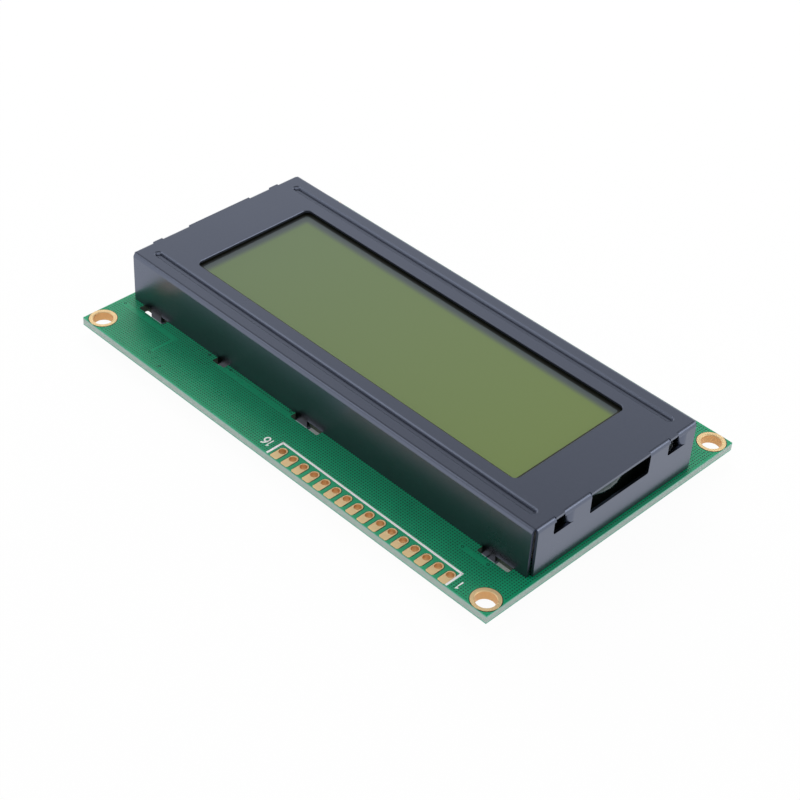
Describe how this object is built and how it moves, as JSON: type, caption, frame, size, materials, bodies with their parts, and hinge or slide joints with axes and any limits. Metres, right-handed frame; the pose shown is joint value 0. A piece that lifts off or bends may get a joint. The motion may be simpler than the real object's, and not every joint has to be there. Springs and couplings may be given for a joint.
{
  "type": "character lcd module",
  "caption": "Character LCD module: a folded steel bezel with a window clamps a yellow-green glass cell and its backlight on a drilled circuit board.",
  "frame": {"origin": "centre of the four corner mounting holes, on the back face of the circuit board", "axes": "+X along the lines of text to the right, +Y up the page to the header row, +Z out of the display face"},
  "size_m": [0.098, 0.06, 0.0129],
  "materials": {
    "solder_mask_board": "glossy green solder mask over glass-epoxy laminate",
    "gold_plate": "thin gold plate over copper",
    "black_steel": "satin black-blue coating on sheet steel",
    "front_polariser": "clear polarising film over the yellow-green cell",
    "clear_glass": "polished soda-lime glass",
    "seal_epoxy": "cured epoxy line",
    "port_sealant": "cured translucent sealant",
    "rear_polariser": "polarising film with a half-mirror",
    "contact_gold": "thin gold plate over copper",
    "strip_rubber": "silicone with fine carbon layers",
    "led_board": "white-masked laminate",
    "led_chip": "yellow-green LED chips in clear resin",
    "white_plastic": "white moulded plastic",
    "diffuser": "milky diffusing plastic",
    "tinned_pin": "tinned wire",
    "solder": "bright solder",
    "black_resin": "black potting resin",
    "resistor_body": "black overglaze on ceramic",
    "capacitor_body": "tan ceramic"
  },
  "bodies": {
    "root": {"backlight_board": "led_board", "backlight_diffuser": "diffuser", "backlight_housing": "white_plastic", "backlight_leds": "led_chip", "backlight_pads": "gold_plate", "backlight_pins": "tinned_pin", "backlight_solder": "solder", "bezel": "black_steel", "capacitor_bodies": "capacitor_body", "capacitor_ends": "solder", "circuit_board": "solder_mask_board", "connector_strip_far_side": "strip_rubber", "connector_strip_header_side": "strip_rubber", "contact_fingers_far_side": "contact_gold", "contact_fingers_header_side": "contact_gold", "controller_dome": "black_resin", "driver_dome_1": "black_resin", "driver_dome_2": "black_resin", "driver_dome_3": "black_resin", "driver_dome_4": "black_resin", "front_glass": "clear_glass", "front_polariser": "front_polariser", "header_pads": "gold_plate", "jumper_pads": "gold_plate", "mounting_rings": "gold_plate", "perimeter_seal": "seal_epoxy", "port_seal": "port_sealant", "rear_glass": "clear_glass", "rear_polariser": "rear_polariser", "resistor_bodies": "resistor_body", "resistor_ends": "solder"}
  },
  "joints": []
}
